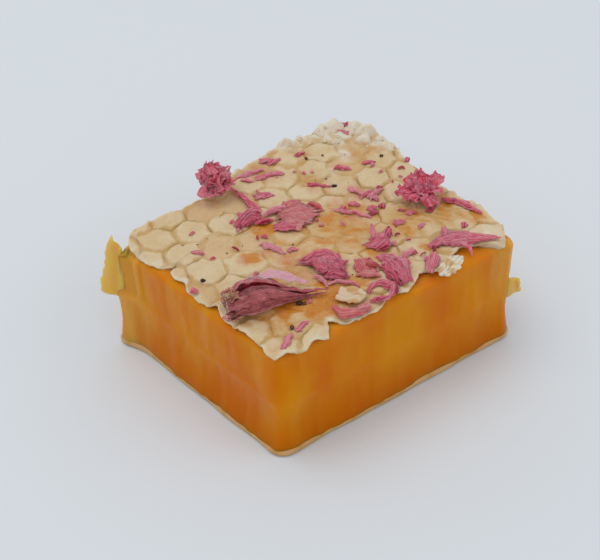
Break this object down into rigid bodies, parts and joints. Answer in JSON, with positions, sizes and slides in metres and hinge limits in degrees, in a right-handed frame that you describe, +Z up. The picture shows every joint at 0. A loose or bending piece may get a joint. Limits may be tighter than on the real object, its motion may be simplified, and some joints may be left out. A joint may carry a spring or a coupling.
{
  "type": "cut comb honey piece",
  "caption": "Slab of cut honeycomb filled with amber honey, capped with pale wax above and below, with dried flower petals lying on top.",
  "frame": {"origin": "on the resting plane, under the middle of the bounding box", "axes": "+Z up, out of the capped top; +X along the longer pair of cut sides, from the corner with the standing torn wall towards the crumbled corner's side; the cut side with the most torn lips faces -Y"},
  "size_m": [0.0547, 0.0442, 0.0256],
  "materials": {
    "comb": "honey-soaked cut beeswax cells, amber, glossy and translucent",
    "capping": "thin capping wax, pale tan, satin where honey has wetted it, paler at its torn edges",
    "wax_scraps": "loose plates of pale capping wax, wrinkled, matte",
    "petals_magenta": "dried flower petals, magenta, papery, veined and ruffled",
    "petals_salmon": "dried flower petals wetted by honey, salmon pink, half see-through",
    "petals_mauve": "rolled dried floret, mauve with dark maroon folds and a brown open end"
  },
  "bodies": {
    "root": {"capping_base": "capping", "capping_top": "capping", "comb": "comb", "petal_bundle": "petals_magenta", "petal_coral": "petals_salmon", "petal_edge_strand": "petals_magenta", "petal_fan": "petals_salmon", "petal_fan_low": "petals_magenta", "petal_flat": "petals_salmon", "petal_floret": "petals_mauve", "petal_knot": "petals_magenta", "petal_long": "petals_magenta", "petal_looped": "petals_magenta", "petal_pleated": "petals_magenta", "petal_slip": "petals_magenta", "petal_sprig": "petals_magenta", "petal_strand": "petals_magenta", "petal_tuft_back": "petals_magenta", "petal_tuft_right": "petals_magenta", "wax_disc": "wax_scraps", "wax_scrap_wrinkled": "wax_scraps"}
  },
  "joints": []
}
